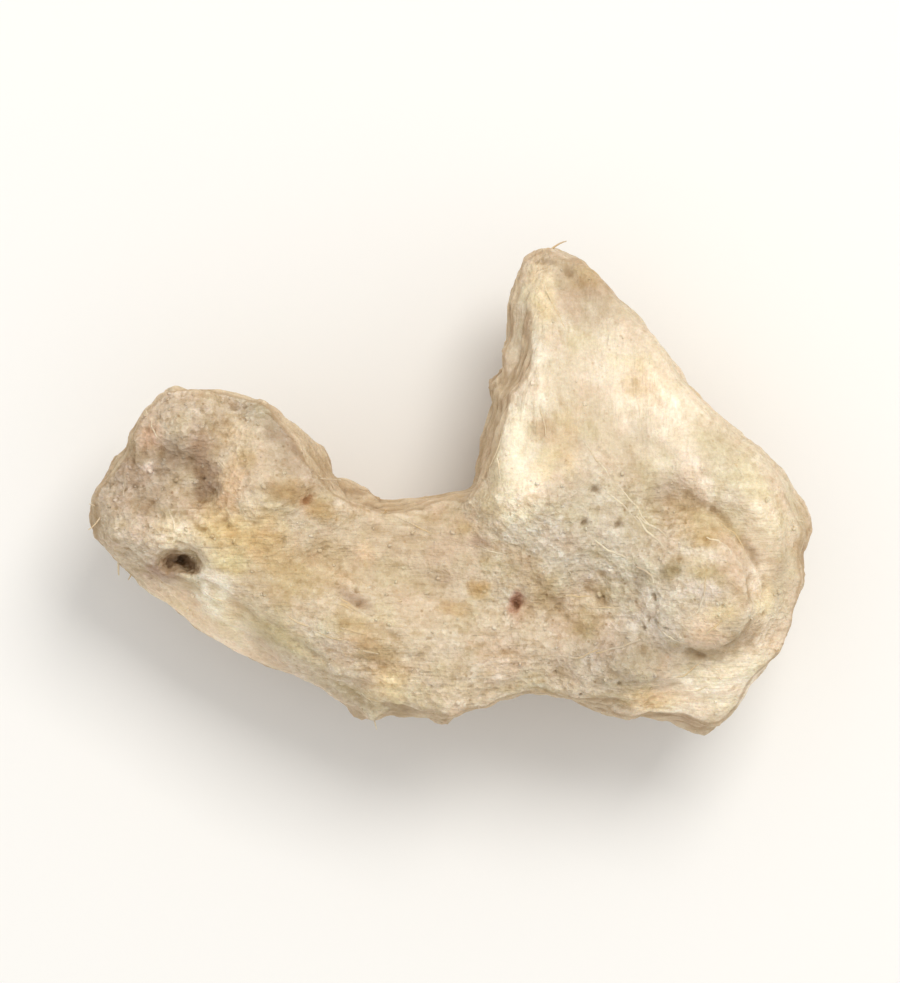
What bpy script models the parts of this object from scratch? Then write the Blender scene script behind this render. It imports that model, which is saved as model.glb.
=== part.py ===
"""A chunk of dried ginger root, cut lengthwise from a branching rhizome.

It is one natural piece. A thick stub carries a side branch at its right end. The top is the cut
face, which shrank as it dried. The sides and the underside keep the wrinkled, ringed skin, apart
from four more knife cuts: a long one on the right side, one at each lower corner, and the small
flat one that the chunk lies on.

Metres, +Z up. X runs along the stub and Y along the side branch. The origin is at the middle of the
chunk's box in X and Y, on the surface that it lies on.
"""

import math

import bmesh
import bpy
import numpy as np
from mathutils import Vector, noise

MM = 0.001
NODE = "ginger_root"

# Heights, as they are before the underside is trimmed flat.
CUT_FACE_HEIGHT = 6.1 * MM
SHOULDER_SHARE = 0.56  # height of the widest line, as a share of the cut face's height
UNDERSIDE_ROUNDING = 3.7 * MM  # how far in from the outline the belly reaches its depth
RIM_ROUNDING = 0.5 * MM
TRIM_HEIGHT = 0.8 * MM  # what the last knife cut takes off the belly

# The chunk seen from above, clockwise from the tip of the side branch, in millimetres.
OUTLINE_MM = (
    (2.65, 7.05), (3.95, 7.1), (4.95, 6.35), (6.1, 5.1), (7.7, 3.3), (8.95, 1.95), (9.95, 0.6),
    (10.25, -1.2), (9.9, -3.1), (9.1, -5.1), (7.8, -6.75), (6.2, -6.25), (4.4, -6.25),
    (2.7, -5.5), (1.1, -5.7), (-0.4, -6.3), (-2.4, -6.05), (-4.2, -5.4), (-5.9, -4.9),
    (-7.4, -4.1), (-8.5, -3.2), (-9.4, -2.4), (-10.1, -1.3), (-10.25, 0.1), (-9.5, 1.7),
    (-8.2, 2.75), (-6.5, 2.95), (-4.9, 2.1), (-3.5, 0.85), (-2.0, 0.1), (-0.7, 0.1), (0.5, 0.3),
    (1.05, 2.0), (1.6, 4.2), (2.0, 6.0),
)  # fmt: skip
OUTLINE_STEPS = 6  # points along each stretch of the outline

# Swellings and hollows of the cut face: centre x and y, half length, half width, turn and rise, in
# millimetres and degrees.
TOP_FORMS = (
    (6.6, -2.2, 4.6, 4.4, 0, 1.5),  # swollen right end
    (2.6, 2.6, 3.8, 1.3, 98, 1.0),  # crest of the side branch
    (2.1, -0.2, 1.3, 1.1, 20, 0.7),  # knuckle at the foot of the branch
    (3.6, 7.0, 2.4, 2.4, 0, -1.9),  # branch thins towards its tip
    (4.5, 6.6, 0.7, 0.6, 0, 0.7),  # bud on the tip
    (6.9, 1.4, 2.4, 0.8, 135, 0.5),  # rim beside the long knife cut
    (7.8, -2.5, 1.3, 1.7, 10, 0.8),  # core that stands out of the right end
    (3.9, -3.4, 2.2, 1.3, 25, -0.9),  # hollow between the core and the stub
    (-5.1, 0.2, 2.3, 1.9, 10, 1.1),  # shoulder left of the middle
    (-1.3, -1.2, 2.2, 1.3, 0, -0.5),  # saddle in the middle
    (-2.6, -3.9, 3.4, 0.8, -22, 0.6),  # long fold near the lower edge
    (-0.5, -2.7, 3.0, 0.45, -14, -0.45),  # crease above that fold
    (-6.6, 1.7, 1.5, 0.45, 75, -0.7),  # furrow before the left knob
    (-7.2, -0.1, 1.2, 0.5, 118, -0.6),  # and its lower end
    (-7.0, -1.1, 0.8, 0.5, 160, 0.45),  # lump above the deep hole
    (-9.2, 0.2, 1.6, 2.2, 0, -0.9),  # left knob lies lower
    (6.4, -6.1, 2.6, 0.9, 4, -1.3),  # step along the lower right edge
)

# Where the skin shows from above as a sloping shoulder, in the form of TOP_FORMS. Here the rise is
# how far in from the outline the shoulder reaches.
SHOULDERS = (
    (1.4, 3.0, 3.8, 1.3, 80, 1.3),  # left side of the branch
    (-2.6, 1.0, 2.8, 1.3, -22, 0.8),  # inner side of the stub
    (-9.9, 0.3, 1.4, 2.6, 0, 0.7),  # left end
    (-2.0, -6.2, 3.4, 1.0, -20, 0.5),  # lower side of the stub
)
SHOULDER_SLOPE = 2.0  # how far a shoulder falls for each unit that it reaches in
LIP_HEIGHT = 0.28 * MM  # raised edge of the cut face round the right end
LIP_INWARD, LIP_HALF_WIDTH = 0.95 * MM, 0.45 * MM
LIP_FROM_X, LIP_FULL_X = 1.0 * MM, 6.0 * MM

# The ring round the core, where the dried flesh shrank from it: centre, half axes, turn, half width
# and depth, and the angles it runs between.
RING_CENTRE_MM = (6.95, -2.46)
RING_AXES_MM = (2.48, 2.07)
RING_TURN = math.radians(-50)
RING_HALF_WIDTH_MM = 0.36
RING_DEPTH_MM = 0.75
RING_GAP_FROM, RING_GAP_TO = math.radians(180), math.radians(265)

# Small holes in the cut face: x, y, radius and depth in millimetres.
HOLES = (
    (-7.55, -1.85, 0.42, 1.5),
    (-8.1, -1.95, 0.36, 0.9),
    (1.9, -3.1, 0.36, 0.7),
    (-4.1, -0.1, 0.30, 0.3),
)
HOLE_FACES_UP = (0.3, 0.6)

# Swellings of the underside, in the form of TOP_FORMS. A rise here is towards the floor.
BELLY_FORMS = (
    (5.4, -2.0, 3.2, 3.2, 0, 0.8),
    (-3.0, -1.9, 3.2, 2.0, -10, 0.55),
    (-8.6, 0.2, 1.6, 2.2, 0, -0.9),
    (3.2, 5.6, 2.0, 2.6, 0, -0.8),
)

# How far drying curled the left end and the tip of the branch up off the surface, and the stretch
# over which each rises.
CURL_LEFT, CURL_LEFT_FROM_X, CURL_LEFT_TO_X = 1.4 * MM, -3.0 * MM, -10.3 * MM
CURL_BRANCH, CURL_BRANCH_FROM_Y, CURL_BRANCH_TO_Y = 1.0 * MM, 1.0 * MM, 7.0 * MM

# Knife cuts on the sides: the middle of each, its outward normal, and how far its middle sank as it
# dried, in millimetres.
SIDE_CUTS = (
    ((7.66, 3.13, 4.0), (0.72, 0.68, 0.10), 0.4),
    ((9.0, -5.0, 3.0), (0.84, -0.48, -0.20), 0.3),
    ((-6.1, -4.6, 4.6), (-0.46, -0.70, 0.55), 0.2),
)
CUT_SAG_RADIUS = 2.6 * MM
CUT_SAG_BEHIND = 0.4 * MM  # only what lies this near to the cut's plane sinks

# What counts as a cut face: how much it faces up, how high it lies, and how near it lies to the
# plane of a side cut.
CUT_FACES_UP = (0.45, 0.70)
CUT_LOWEST = 2.5 * MM
SIDE_CUT_NEAR = (0.75 * MM, 0.20 * MM)

# The side branch has its grain along Y, and the stub along X.
BRANCH_FROM_Y, BRANCH_FULL_Y = 0.5 * MM, 2.5 * MM

# Relief of the skin.
KNOB_HEIGHT = 0.55 * MM
KNOB_SIZE = 3.8 * MM
WRINKLE_HEIGHT = 0.30 * MM
WRINKLE_ACROSS = 1.15 * MM
WRINKLE_STRETCH = 4.5  # how much longer than wide a wrinkle is
WRINKLE_CREST = 0.08  # rounds the wrinkles' crests
SCAR_PITCH = 2.7 * MM  # between the rings where leaves once sat
SCAR_WAVER = 1.3 * MM
SCAR_WAVER_SIZE = 3.0 * MM
SCAR_HEIGHT = 0.34 * MM
SCAR_HALF_WIDTH = 0.30 * MM
SCAR_PATCH_SIZE = 2.6 * MM  # of the patches where a ring stands out or is worn away
RUBBED_HEIGHT = 1.6 * MM  # below this height on the belly the folds are worn low
RUBBED_LEAST = 0.15
ROOT_SCARS_MM = ((4.2, -4.9), (-3.4, 0.6), (-6.2, -2.9), (8.9, -0.6), (1.4, 3.8))
ROOT_SCAR_RADIUS = 0.75 * MM
ROOT_SCAR_HEIGHT = 0.22 * MM
ROOT_SCARS_FACE_BELOW = 0.2  # they sit where the skin faces up less than this

# Relief of the cut faces.
FIBRE_HEIGHT = 0.10 * MM
FIBRE_ACROSS = 0.75 * MM
FIBRE_STRETCH = 5.0
LUMP_HEIGHT = 0.22 * MM
LUMP_SIZE = 2.4 * MM

# Offsets that give each kind of relief its own part of the noise.
WRINKLE_SHIFT = Vector((3.7, -3.7, 1.85))
FIBRE_SHIFT = Vector((8.1, -8.1, 4.05))
KNOB_SHIFT = Vector((2.3, 7.1, 0.4))
SCAR_SHIFT = Vector((5.0, 1.0, 9.0))

ROUGH_VOXEL = 0.30 * MM
FINE_VOXEL = 0.24 * MM
TRIANGLES = 8600

ROOT_COLOUR = (0.58, 0.46, 0.31, 1.0)


def clear_scene():
    for item in list(bpy.data.objects):
        bpy.data.objects.remove(item)


def outline_points():
    """The outline as a closed smooth curve through its own points, in metres."""
    count = len(OUTLINE_MM)
    corners = [Vector(point) * MM for point in OUTLINE_MM]
    points = []
    for i in range(count):
        before, start, end, after = (corners[(i + k - 1) % count] for k in range(4))
        for step in range(OUTLINE_STEPS):
            t = step / OUTLINE_STEPS
            points.append(
                0.5 * (
                    2 * start
                    + (end - before) * t
                    + (2 * before - 5 * start + 4 * end - after) * t**2
                    + (3 * start - before - 3 * end + after) * t**3
                )
            )  # fmt: skip
    return np.array([tuple(point) for point in points])


def coordinates(mesh):
    points = np.empty(len(mesh.vertices) * 3)
    mesh.vertices.foreach_get("co", points)
    return points.reshape(-1, 3)


def normals(mesh):
    directions = np.empty(len(mesh.vertices) * 3)
    mesh.vertex_normals.foreach_get("vector", directions)
    return directions.reshape(-1, 3)


def move_vertices(mesh, points):
    mesh.vertices.foreach_set("co", points.ravel())
    mesh.update()


def distance_to_outline(places, outline):
    """How far each place lies from the outline, seen from above."""
    starts, ends = outline, np.roll(outline, -1, axis=0)
    along = ends - starts
    offset = places[:, None, :] - starts[None]
    share = (offset * along).sum(axis=2) / (along**2).sum(axis=1)
    nearest = offset - along * np.clip(share, 0, 1)[..., None]
    return np.sqrt((nearest**2).sum(axis=2)).min(axis=1)


def forms_height(forms, x, y):
    """The sum of smooth swellings, each a round or long one with its own turn."""
    height = np.zeros_like(x)
    for centre_x, centre_y, long, wide, turn, rise in forms:
        angle = math.radians(turn)
        dx, dy = x - centre_x * MM, y - centre_y * MM
        u = (dx * math.cos(angle) + dy * math.sin(angle)) / (long * MM)
        v = (dy * math.cos(angle) - dx * math.sin(angle)) / (wide * MM)
        height += rise * MM * np.exp(-(u**2) - v**2)
    return height


def ramp(value, start, end):
    """0 up to start and 1 from end on, straight between them."""
    return np.clip((value - start) / (end - start), 0, 1)


def ring_depth(x, y):
    """The groove round the core, open on the side that faces the stub."""
    dx, dy = x - RING_CENTRE_MM[0] * MM, y - RING_CENTRE_MM[1] * MM
    u = (dx * math.cos(RING_TURN) + dy * math.sin(RING_TURN)) / (RING_AXES_MM[0] * MM)
    v = (dy * math.cos(RING_TURN) - dx * math.sin(RING_TURN)) / (RING_AXES_MM[1] * MM)
    off_line = (np.hypot(u, v) - 1) * RING_AXES_MM[1] / RING_HALF_WIDTH_MM
    angle = np.mod(np.arctan2(v, u), math.tau)
    middle, half = (RING_GAP_FROM + RING_GAP_TO) / 2, (RING_GAP_TO - RING_GAP_FROM) / 2
    grooved = ramp(np.abs(angle - middle), 0.7 * half, 1.3 * half)
    return RING_DEPTH_MM * MM * np.exp(-(off_line**2)) * grooved


def curl(x, y):
    """How far drying has curled the ends up."""
    left = ramp(x, CURL_LEFT_FROM_X, CURL_LEFT_TO_X)
    branch = ramp(y, CURL_BRANCH_FROM_Y, CURL_BRANCH_TO_Y)
    return CURL_LEFT * left**2 + CURL_BRANCH * branch**2


def quarter_round(distance, radius):
    """1 at the outline, falling to 0 at radius from it, along a quarter of a circle."""
    inward = 1 - np.clip(distance / radius, 0, 1)
    return 1 - np.sqrt(1 - inward**2)


def cut_face_height(x, y, distance):
    height = CUT_FACE_HEIGHT + forms_height(TOP_FORMS, x, y) - ring_depth(x, y)
    shoulder = forms_height(SHOULDERS, x, y)
    drop = RIM_ROUNDING + SHOULDER_SLOPE * shoulder
    height -= drop * quarter_round(distance, RIM_ROUNDING + shoulder)
    lip = LIP_HEIGHT * np.exp(-(((distance - LIP_INWARD) / LIP_HALF_WIDTH) ** 2))
    return height + lip * ramp(x, LIP_FROM_X, LIP_FULL_X) + curl(x, y)


def belly_height(x, y, distance):
    widest = SHOULDER_SHARE * (CUT_FACE_HEIGHT + 0.5 * forms_height(TOP_FORMS, x, y))
    depth = forms_height(BELLY_FORMS, x, y) * (1 - quarter_round(distance, UNDERSIDE_ROUNDING))
    return widest * quarter_round(distance, UNDERSIDE_ROUNDING) - depth + curl(x, y)


def slab_object(outline):
    """A flat slab with the chunk's outline, which the two faces are then shaped from."""
    shape = bmesh.new()
    corners = [shape.verts.new((x, y, 0)) for x, y in outline]
    bottom = shape.faces.new(corners)
    grown = bmesh.ops.extrude_face_region(shape, geom=[bottom], use_keep_orig=True)
    raised = [part for part in grown["geom"] if isinstance(part, bmesh.types.BMVert)]
    bmesh.ops.translate(shape, verts=raised, vec=(0, 0, CUT_FACE_HEIGHT))
    bmesh.ops.recalc_face_normals(shape, faces=shape.faces)
    mesh = bpy.data.meshes.new(NODE)
    shape.to_mesh(mesh)
    shape.free()
    slab = bpy.data.objects.new(NODE, mesh)
    bpy.context.scene.collection.objects.link(slab)
    return slab


def apply_modifier(target, kind, **settings):
    modifier = target.modifiers.new(kind.title(), kind)
    for name, value in settings.items():
        setattr(modifier, name, value)
    evaluated = target.evaluated_get(bpy.context.evaluated_depsgraph_get())
    made = bpy.data.meshes.new_from_object(evaluated)
    target.modifiers.remove(modifier)
    target.data = made


def remesh(target, voxel):
    apply_modifier(target, "REMESH", mode="VOXEL", voxel_size=voxel)


def smooth(target, steps):
    apply_modifier(target, "SMOOTH", factor=0.5, iterations=steps)


def shape_faces(target, outline):
    """Moves the slab's two faces to the heights of the cut face and the belly.

    The remeshed wall steps in and out by up to half a voxel, so that much counts as the outline.
    """
    points = coordinates(target.data)
    x, y = points[:, 0], points[:, 1]
    distance = np.maximum(distance_to_outline(points[:, :2], outline) - ROUGH_VOXEL / 2, 0)
    share = np.clip(points[:, 2] / CUT_FACE_HEIGHT, 0, 1)
    low, high = belly_height(x, y, distance), cut_face_height(x, y, distance)
    points[:, 2] = low + (high - low) * share
    move_vertices(target.data, points)


def slice_off(target, point, normal):
    """Cuts away what lies beyond a plane and closes the cut with a flat face."""
    shape = bmesh.new()
    shape.from_mesh(target.data)
    everything = shape.verts[:] + shape.edges[:] + shape.faces[:]
    cut = bmesh.ops.bisect_plane(
        shape, geom=everything, dist=1e-7, plane_co=point, plane_no=normal, clear_outer=True
    )
    edges = [part for part in cut["geom_cut"] if isinstance(part, bmesh.types.BMEdge)]
    bmesh.ops.holes_fill(shape, edges=edges)
    bmesh.ops.triangulate(shape, faces=[face for face in shape.faces if len(face.verts) > 4])
    shape.to_mesh(target.data)
    shape.free()


def off_plane(points, middle, normal):
    """How far each point lies from a side cut's plane."""
    return np.abs((points - np.array(middle) * MM) @ np.array(Vector(normal).normalized()))


def share_of_cut(points, directions):
    """1 on the cut faces and 0 on the skin, by how the surface faces and where it lies."""
    share = ramp(directions[:, 2], *CUT_FACES_UP) * (points[:, 2] > CUT_LOWEST)
    for middle, normal, _ in SIDE_CUTS:
        share = np.maximum(share, ramp(off_plane(points, middle, normal), *SIDE_CUT_NEAR))
    return share


def cut_sag(points):
    """How far the middles of the side cuts sank as they dried."""
    sag = np.zeros(len(points))
    for middle, normal, deep in SIDE_CUTS:
        across = ((points - np.array(middle) * MM) ** 2).sum(axis=1) / CUT_SAG_RADIUS**2
        behind = (off_plane(points, middle, normal) / CUT_SAG_BEHIND) ** 4
        sag += deep * MM * np.exp(-across - behind)
    return sag


def branch_share(points):
    """0 in the stub and 1 in the side branch, whose grain runs along Y."""
    return ramp(points[:, 1], BRANCH_FROM_Y, BRANCH_FULL_Y) * (points[:, 0] > 0)


def grain_noise(point, in_branch, across, stretch, shift):
    """Noise drawn out along the grain, of about -1 to 1."""
    along_x = noise.noise(Vector((point.x / stretch, point.y, point.z)) / across + shift)
    along_y = noise.noise(Vector((point.x, point.y / stretch, point.z)) / across + shift)
    return (1 - in_branch) * along_x + in_branch * along_y


def ring_relief(length):
    """One ring of an old leaf scar for each SCAR_PITCH along the grain."""
    off_ring = SCAR_PITCH * ((length / SCAR_PITCH + 0.5) % 1 - 0.5)
    return SCAR_HEIGHT * math.exp(-((off_ring / SCAR_HALF_WIDTH) ** 2))


def skin_relief(point, in_branch):
    """Wrinkles along the grain and the rings of old leaf scars across it."""
    fold = grain_noise(point, in_branch, WRINKLE_ACROSS, WRINKLE_STRETCH, WRINKLE_SHIFT)
    wrinkle = WRINKLE_HEIGHT * (0.8 - 2.2 * math.hypot(fold, WRINKLE_CREST))
    knob = KNOB_HEIGHT * noise.noise(point / KNOB_SIZE + KNOB_SHIFT)
    waver = SCAR_WAVER * noise.noise(point / SCAR_WAVER_SIZE)
    strength = max(0.0, 0.5 + 1.6 * noise.noise(point / SCAR_PATCH_SIZE + SCAR_SHIFT))
    across_stub = (1 - in_branch) * ring_relief(point.x + waver)
    across_branch = in_branch * ring_relief(point.y + waver)
    return wrinkle + knob + strength * (across_stub + across_branch)


def root_scar_relief(point):
    """Low craters where rootlets were pulled off, on the skin side."""
    relief = 0.0
    for x, y in ROOT_SCARS_MM:
        off = math.hypot(point.x - x * MM, point.y - y * MM) / ROOT_SCAR_RADIUS
        rim, middle = math.exp(-5 * (off - 0.8) ** 2), math.exp(-4 * off**2)
        relief += ROOT_SCAR_HEIGHT * (rim - 0.8 * middle)
    return relief


def cut_relief(point, in_branch):
    """Fibres drawn along the grain over broad dried lumps."""
    fibre = grain_noise(point, in_branch, FIBRE_ACROSS, FIBRE_STRETCH, FIBRE_SHIFT)
    return FIBRE_HEIGHT * fibre + LUMP_HEIGHT * noise.fractal(point / LUMP_SIZE, 0.9, 2.1, 3)


def hole_depth(points, directions):
    upward = ramp(directions[:, 2], *HOLE_FACES_UP)
    depth = np.zeros(len(points))
    for x, y, radius, deep in HOLES:
        off = np.hypot(points[:, 0] - x * MM, points[:, 1] - y * MM) / (radius * MM)
        depth += deep * MM * np.exp(-(off**4))
    return depth * upward


def carve_relief(target):
    """Raises the skin's folds and the cut faces' fibres from the surface."""
    points, directions = coordinates(target.data), normals(target.data)
    cut, in_branch = share_of_cut(points, directions), branch_share(points)
    above_belly = points[:, 2] - points[:, 2].min()
    unworn = np.clip(above_belly / RUBBED_HEIGHT, RUBBED_LEAST, 1)
    relief = np.empty(len(points))
    for i, place in enumerate(points):
        point = Vector(place)
        skin = unworn[i] * skin_relief(point, in_branch[i])
        if directions[i, 2] < ROOT_SCARS_FACE_BELOW:
            skin += root_scar_relief(point)
        relief[i] = (1 - cut[i]) * skin + cut[i] * cut_relief(point, in_branch[i])
    points += directions * (relief - cut_sag(points))[:, None]
    points[:, 2] -= hole_depth(points, directions)
    move_vertices(target.data, points)


def settle(target):
    """Puts the middle of the box over the origin, with the trimmed belly on the surface."""
    points = coordinates(target.data)
    low, high = points.min(axis=0), points.max(axis=0)
    points[:, :2] -= (low[:2] + high[:2]) / 2
    points[:, 2] -= low[2]
    move_vertices(target.data, points)


def root_material():
    material = bpy.data.materials.new("dried_root")
    material.use_nodes = True
    shader = material.node_tree.nodes["Principled BSDF"]
    shader.inputs["Base Color"].default_value = ROOT_COLOUR
    shader.inputs["Roughness"].default_value = 0.85
    shader.inputs["Metallic"].default_value = 0.0
    return material


def ginger_root():
    outline = outline_points()
    root = slab_object(outline)
    remesh(root, ROUGH_VOXEL)
    shape_faces(root, outline)
    smooth(root, 2)
    for middle, normal, _ in SIDE_CUTS:
        slice_off(root, Vector(middle) * MM, Vector(normal).normalized())
    remesh(root, FINE_VOXEL)
    smooth(root, 2)
    carve_relief(root)
    apply_modifier(root, "DECIMATE", ratio=TRIANGLES / (2 * len(root.data.polygons)))
    belly = coordinates(root.data)[:, 2].min()
    slice_off(root, Vector((0, 0, belly + TRIM_HEIGHT)), Vector((0, 0, -1)))
    settle(root)
    root.data.materials.append(root_material())
    root.data.shade_smooth()
    return root


clear_scene()
ginger_root()
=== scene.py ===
"""The finish of a chunk of dried ginger root: its mealy cut face, its wrinkled skin, and the crumbs
and frayed fibres on it.

The chunk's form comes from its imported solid. It is refined here in millimetres and then brought
back to metres, so that the sizes below read as they would be measured.
"""

import math
import random
from types import SimpleNamespace

import bpy
import numpy as np
from mathutils import Euler, Matrix, Vector, noise
from mathutils.bvhtree import BVHTree
from mathutils.kdtree import KDTree


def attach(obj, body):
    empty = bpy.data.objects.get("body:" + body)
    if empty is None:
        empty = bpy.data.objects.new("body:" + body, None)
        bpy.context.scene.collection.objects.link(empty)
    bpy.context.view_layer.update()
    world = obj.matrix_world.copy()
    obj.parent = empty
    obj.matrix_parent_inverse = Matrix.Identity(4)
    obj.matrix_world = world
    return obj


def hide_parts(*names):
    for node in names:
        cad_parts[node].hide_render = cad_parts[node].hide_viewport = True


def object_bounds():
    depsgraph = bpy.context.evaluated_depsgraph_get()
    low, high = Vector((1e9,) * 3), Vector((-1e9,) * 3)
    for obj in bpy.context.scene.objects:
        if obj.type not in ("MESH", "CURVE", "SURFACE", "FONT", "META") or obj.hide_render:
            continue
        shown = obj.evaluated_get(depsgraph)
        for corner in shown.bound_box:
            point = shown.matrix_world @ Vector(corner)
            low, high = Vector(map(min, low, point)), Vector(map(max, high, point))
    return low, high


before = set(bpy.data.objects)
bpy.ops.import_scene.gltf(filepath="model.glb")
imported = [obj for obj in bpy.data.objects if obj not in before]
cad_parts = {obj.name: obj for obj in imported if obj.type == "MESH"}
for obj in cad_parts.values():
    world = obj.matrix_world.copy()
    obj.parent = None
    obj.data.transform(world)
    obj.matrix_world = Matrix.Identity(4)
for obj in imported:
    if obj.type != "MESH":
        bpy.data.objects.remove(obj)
cad_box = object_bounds()

MM = 0.001

# The chunk, in millimetres: how fine its mesh is, the heights above which its upper side is the cut
# face and the top of it, the height of its flat spot's edge, and the inner corner between the stub
# and the branch, where the skin is drawn smooth.
MESH_STEP = 0.0953
FACE_HEIGHT = 2.5
TOP_HEIGHT = 3.0
FLAT_SPOT_EDGE = 0.25
CORNER = (0.45, 0.25)

# Rounds of smoothing: of the solid's facets, of the deep holes and of the cut face's border.
FACET_SMOOTHING = 16
HOLE_SMOOTHING = 3
CUT_SMOOTHING = 46

# Rounds of averaging, each a smoother surface, from which its fine and broad relief are told.
NEAR_ROUNDS = 3
SOFT_ROUNDS = 8
FAR_ROUNDS = 24

# The relief of the cut face: how high its parts stand, and how deep its tears and pinholes are.
LUMP_HEIGHT = 0.05
MEAL_HEIGHT = 0.055
GRAIN_HEIGHT = 0.03
STREAK_HEIGHT = 0.045
HAIR_HEIGHT = 0.026
TEAR_DEPTH = 0.12
PINHOLE_DEPTH = 0.09

# The relief of the skin.
FOLD_HEIGHT = 0.055
WRINKLE_HEIGHT = 0.045
NET_HEIGHT = 0.11
SKIN_HAIR_HEIGHT = 0.022
SKIN_GRAIN_HEIGHT = 0.012
SCAB_HEIGHT = 0.03

# How far the skin's folds wave, and how far the holes' and the creases' borders stray.
FOLD_WAVE = 0.30
HOLE_STRAY = (0.12, 0.05)
CREASE_STRAY = 0.09
PIT_STRAY = 0.07

# Knife cuts on the sides: a point on each and its outward normal.
SIDE_CUTS = (
    ((7.65, 3.00, 4.05), (0.72, 0.68, 0.10)),
    ((8.99, -5.13, 3.05), (0.84, -0.48, -0.20)),
    ((-6.11, -4.73, 4.65), (-0.46, -0.70, 0.55)),
)

# Which way the grain runs, seen from above: place in X and Y, and direction in degrees.
GRAIN = (
    (-9.2, 1.6, -70), (-8.8, -1.2, -60), (-5.6, 0.9, -35), (-4.6, -2.6, -26), (-1.2, -1.2, -18),
    (-0.8, -4.4, -14), (3.0, -1.4, -16), (2.8, -4.4, -4), (5.4, -5.4, 8), (8.3, -4.4, 52),
    (9.3, -2.2, 90), (8.6, 0.2, 126), (6.7, 2.3, 129), (5.0, 4.4, 124), (3.6, 6.4, 98),
    (1.9, 3.4, 82), (2.0, 0.9, 78), (4.2, 1.2, 108), (7.3, -2.6, 70), (6.2, -0.4, 150),
)  # fmt: skip
GRAIN_REACH = 2.3

# How rough the cut face is: place in X and Y, radius, and the roughness there against 1 elsewhere.
ROUGH_PLACES = (
    (3.4, 4.0, 2.2, 0.35), (5.8, 2.4, 1.7, 0.3), (9.2, -1.4, 1.3, 0.35), (2.2, 1.2, 1.1, 0.3),
    (7.4, -5.3, 1.5, 0.5), (-8.9, 1.0, 1.9, 1.9), (4.2, -1.4, 1.6, 1.2), (4.8, -3.7, 1.6, 1.3),
    (7.0, -2.4, 1.5, 1.0), (-1.0, -1.2, 1.9, 0.6), (-5.4, -0.6, 1.7, 0.8), (-6.8, -4.0, 1.6, 0.3),
)  # fmt: skip

# Small pits of the cut face: place in X and Y, half length, half width, turn in degrees, depth.
PITS = (
    (4.22, 0.07, 0.12, 0.09, 0, 0.13),
    (3.88, -0.88, 0.11, 0.09, 30, 0.12),
    (4.88, -0.93, 0.12, 0.09, 60, 0.14),
    (-4.12, -0.27, 0.14, 0.11, 40, 0.15),
)

# Deep holes, which are cut before the surface is made fine, in the same form. A negative depth
# fills the solid's own hole.
HOLES = (
    (1.91, -3.24, 0.37, 0.37, 0, -0.52),
    (1.93, -3.25, 0.30, 0.18, 75, 0.32),
    (-7.55, -1.99, 0.46, 0.46, 0, -0.65),
    (-8.10, -2.09, 0.42, 0.42, 0, -0.5),
    (-7.72, -2.10, 0.40, 0.23, -25, 0.7),
    (-8.12, -2.0, 0.34, 0.28, 0, 0.7),
    (-8.4, -2.35, 0.5, 0.25, 10, 0.15),
    (-6.85, -3.45, 0.75, 0.42, -50, -0.20),
)

# Where the edge stands out a little further than the solid's: place in X and Y, radius, how far, and
# which way in degrees.
EDGE_PUSHES = ((9.45, -4.55, 0.95, 0.30, -30),)

# Creases of the cut face: places along each, half width and depth.
CREASES = (
    (
        (
            (6.5, 0.1), (7.0, -0.18), (7.6, -0.5), (8.05, -0.85), (8.5, -1.4), (8.85, -1.95),
            (9.15, -2.7), (9.2, -3.4), (8.95, -4.05),
        ), 0.13, 0.17,
    ),
    (((8.7, -4.25), (8.0, -4.6), (7.3, -4.78), (6.7, -4.6)), 0.14, 0.20),
    (((-8.9, 1.4), (-8.0, 1.0), (-7.3, 0.9), (-7.1, 0.3), (-7.15, -0.4)), 0.40, 0.20),
    (((2.1, -2.1), (2.6, -2.7), (3.0, -3.2), (3.5, -3.7), (3.9, -4.1)), 0.13, 0.09),
    (((3.6, -2.6), (4.2, -2.95), (4.6, -3.4)), 0.11, 0.08),
    (((-5.6, -3.5), (-4.9, -4.1), (-4.1, -4.7), (-3.3, -5.2)), 0.13, 0.10),
    (((-3.0, -3.1), (-2.2, -3.6), (-1.4, -4.4), (-0.9, -5.2)), 0.11, 0.07),
    (((3.3, 6.6), (3.7, 6.2), (4.1, 5.4)), 0.12, 0.10),
    (((2.4, 6.7), (2.9, 6.75), (3.2, 6.6)), 0.08, 0.08),
)  # fmt: skip

# Fibres: how many lie on the cut face and stand out at its rim, their radii, how far apart the places
# along them are, the least height over the floor, and how far past the solid's box they may reach,
# as a share of that side.
LYING_FIBRES = 44
RIM_FIBRES = 12
LYING_RADII = (0.022, 0.045)
RIM_RADII = (0.020, 0.036)
FIBRE_STEP = 0.12
FLOOR_GAP = 0.05
BOX_MARGIN = 0.018

# Crumbs: how many, their smallest and largest radius, and how uneven they are.
CRUMBS = 520
CRUMB_RADII = (0.03, 0.12)
CRUMB_LUMPS = 0.6

# What the materials read from the chunk, and from the nearest place on it for the small pieces,
# whose colour is then drawn a little towards a paler one.
KEPT_LOOKS = (
    "cut", "in_branch", "roughness", "stringy", "hairs", "streaks", "wrinkles", "scabs",
    "broad_relief",
)  # fmt: skip
PALER = 0.12
PALE_MEAL = (250, 240, 220)

# Screen colours of the cut face, and of a cut away from the top.
BODY = (208, 190, 162)
PLAIN_CUT = (226, 208, 178)

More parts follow.
